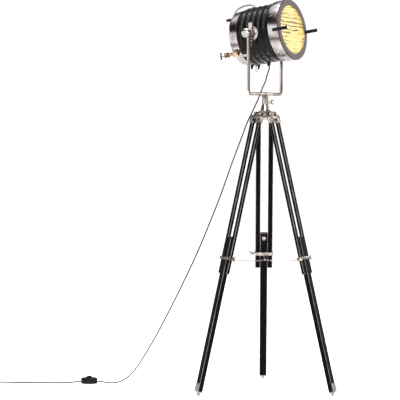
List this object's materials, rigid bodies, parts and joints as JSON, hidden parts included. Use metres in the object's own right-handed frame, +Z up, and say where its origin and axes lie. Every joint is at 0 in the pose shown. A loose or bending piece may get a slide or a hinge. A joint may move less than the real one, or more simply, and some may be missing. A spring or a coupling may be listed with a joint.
{
  "type": "tripod floor lamp",
  "caption": "Studio-style floor lamp: ribbed head in a tilting tube yoke on a folding, extending tripod, with stay chains, a floor switch and a cord.",
  "frame": {"origin": "middle of the underside of the lamp's bounding box without its cord, on the floor", "axes": "+Z up, the lamp head faces -Y, the tilt axis is parallel to X"},
  "size_m": [0.8705, 1.466, 1.6377],
  "materials": {
    "black_wood": "satin black lacquer",
    "warm_nickel": "polished nickel",
    "chrome": "polished",
    "black_enamel": "gloss black",
    "black_plastic": "satin",
    "cord_sheath": "matte",
    "lit_glass": "fluted, lit",
    "bulb_glass": "frosted, lit",
    "reflector": "polished",
    "foot_steel": "dull zinc",
    "brass": "polished",
    "holder": "matte"
  },
  "bodies": {
    "root": {"tripod_head": "warm_nickel", "hinge_bolt_0": "chrome", "hinge_bolt_1": "chrome", "hinge_bolt_2": "chrome", "chain_ring": "chrome", "chain_0": "chrome", "chain_1": "chrome", "chain_2": "chrome", "lower_cord": "cord_sheath", "foot_switch_body": "black_plastic", "cord_tail": "cord_sheath", "cord_coil": "cord_sheath", "plug": "black_plastic"},
    "yoke": {"yoke": "warm_nickel", "upper_cord": "cord_sheath"},
    "head": {"lamp_housing": "black_enamel", "front_ring": "chrome", "lens_glass": "lit_glass", "reflector": "reflector", "lamp_holder": "holder", "bulb": "bulb_glass", "rear_cap": "chrome", "carry_handle": "chrome", "tilt_boss_left": "chrome", "tilt_boss_right": "chrome", "cord_gland": "black_plastic", "front_rod_left": "black_plastic", "front_rod_right": "black_plastic"},
    "leg_0": {"top_fitting_0": "warm_nickel", "rail_left_0": "black_wood", "rail_right_0": "black_wood", "clamp_band_0": "warm_nickel"},
    "lower_leg_0": {"lower_leg_0": "black_wood", "stop_screw_0": "chrome", "foot_0": "foot_steel"},
    "clamp_screw_0": {"clamp_screw_0": "warm_nickel"},
    "leg_1": {"top_fitting_1": "warm_nickel", "rail_left_1": "black_wood", "rail_right_1": "black_wood", "clamp_band_1": "warm_nickel"},
    "lower_leg_1": {"lower_leg_1": "black_wood", "stop_screw_1": "chrome", "foot_1": "foot_steel"},
    "clamp_screw_1": {"clamp_screw_1": "warm_nickel"},
    "leg_2": {"top_fitting_2": "warm_nickel", "rail_left_2": "black_wood", "rail_right_2": "black_wood", "clamp_band_2": "warm_nickel"},
    "lower_leg_2": {"lower_leg_2": "black_wood", "stop_screw_2": "chrome", "foot_2": "foot_steel"},
    "clamp_screw_2": {"clamp_screw_2": "warm_nickel"},
    "tilt_knob_left": {"tilt_knob_left": "chrome"},
    "tilt_knob_right": {"tilt_knob_right": "chrome"},
    "wing_nut_left": {"wing_nut_left": "warm_nickel"},
    "wing_nut_right": {"wing_nut_right": "warm_nickel"},
    "pan_screw": {"pan_screw": "warm_nickel"},
    "rear_knob": {"rear_knob": "black_plastic"},
    "rear_t_screw": {"rear_t_screw": "brass"},
    "foot_switch_button": {"foot_switch_button": "black_plastic"}
  },
  "joints": [
    {"name": "pan", "type": "hinge", "parent": "root", "child": "yoke", "pos_m": [0, 0.07704, 1.23], "axis": [0, 0, 1], "range_deg": [-170, 170], "deforming": ["lower_cord"]},
    {"name": "head_tilt", "type": "hinge", "parent": "yoke", "child": "head", "pos_m": [0, 0.07704, 1.494], "axis": [1, 0, 0], "range_deg": [-60, 75], "deforming": ["upper_cord"]},
    {"name": "leg_fold_0", "type": "hinge", "parent": "root", "child": "leg_0", "pos_m": [0, 0.04074, 1.164], "axis": [1, 0, 0], "range_deg": [0, 12], "deforming": ["chain_0"]},
    {"name": "leg_extend_0", "type": "slide", "parent": "leg_0", "child": "lower_leg_0", "axis": [0, -0.2396, -0.9709], "range_m": [-0.43, 0.05]},
    {"name": "clamp_screw_0_turn", "type": "hinge", "parent": "leg_0", "child": "clamp_screw_0", "pos_m": [0.0442, -0.10742, 0.56351], "axis": [1, 0, 0], "continuous": true},
    {"name": "leg_fold_1", "type": "hinge", "parent": "root", "child": "leg_1", "pos_m": [0.03144, 0.09519, 1.164], "axis": [-0.5, 0.866, 0], "range_deg": [0, 12], "deforming": ["chain_1"]},
    {"name": "leg_extend_1", "type": "slide", "parent": "leg_1", "child": "lower_leg_1", "axis": [0.2075, 0.1198, -0.9709], "range_m": [-0.43, 0.05]},
    {"name": "clamp_screw_1_turn", "type": "hinge", "parent": "leg_1", "child": "clamp_screw_1", "pos_m": [0.13765, 0.20755, 0.56351], "axis": [-0.5, 0.866, 0], "continuous": true},
    {"name": "leg_fold_2", "type": "hinge", "parent": "root", "child": "leg_2", "pos_m": [-0.03144, 0.09519, 1.164], "axis": [-0.5, -0.866, 0], "range_deg": [0, 12], "deforming": ["chain_2"]},
    {"name": "leg_extend_2", "type": "slide", "parent": "leg_2", "child": "lower_leg_2", "axis": [-0.2075, 0.1198, -0.9709], "range_m": [-0.43, 0.05]},
    {"name": "clamp_screw_2_turn", "type": "hinge", "parent": "leg_2", "child": "clamp_screw_2", "pos_m": [-0.18185, 0.13099, 0.56351], "axis": [-0.5, -0.866, 0], "continuous": true},
    {"name": "tilt_knob_left_turn", "type": "hinge", "parent": "head", "child": "tilt_knob_left", "pos_m": [-0.165, 0.07704, 1.494], "axis": [1, 0, 0], "continuous": true},
    {"name": "tilt_knob_right_turn", "type": "hinge", "parent": "head", "child": "tilt_knob_right", "pos_m": [0.165, 0.07704, 1.494], "axis": [1, 0, 0], "continuous": true},
    {"name": "wing_nut_left_turn", "type": "hinge", "parent": "head", "child": "wing_nut_left", "pos_m": [-0.13, 0.07704, 1.494], "axis": [1, 0, 0], "continuous": true},
    {"name": "wing_nut_right_turn", "type": "hinge", "parent": "head", "child": "wing_nut_right", "pos_m": [0.13, 0.07704, 1.494], "axis": [1, 0, 0], "continuous": true},
    {"name": "pan_screw_turn", "type": "hinge", "parent": "root", "child": "pan_screw", "pos_m": [0.0068, 0.06457, 1.2126], "axis": [0.4787, -0.878, 0], "continuous": true},
    {"name": "rear_knob_turn", "type": "hinge", "parent": "head", "child": "rear_knob", "pos_m": [-0.04, 0.20247, 1.56019], "axis": [0, 0.9903, -0.1392], "continuous": true},
    {"name": "rear_t_screw_turn", "type": "hinge", "parent": "head", "child": "rear_t_screw", "pos_m": [-0.10156, 0.17445, 1.41114], "axis": [0, 0.9903, -0.1392], "continuous": true},
    {"name": "foot_switch_press", "type": "slide", "parent": "root", "child": "foot_switch_button", "axis": [0, 0, -1], "range_m": [0, 0.003], "stiffness_N_per_m": 400, "springref_m": -0.001}
  ]
}
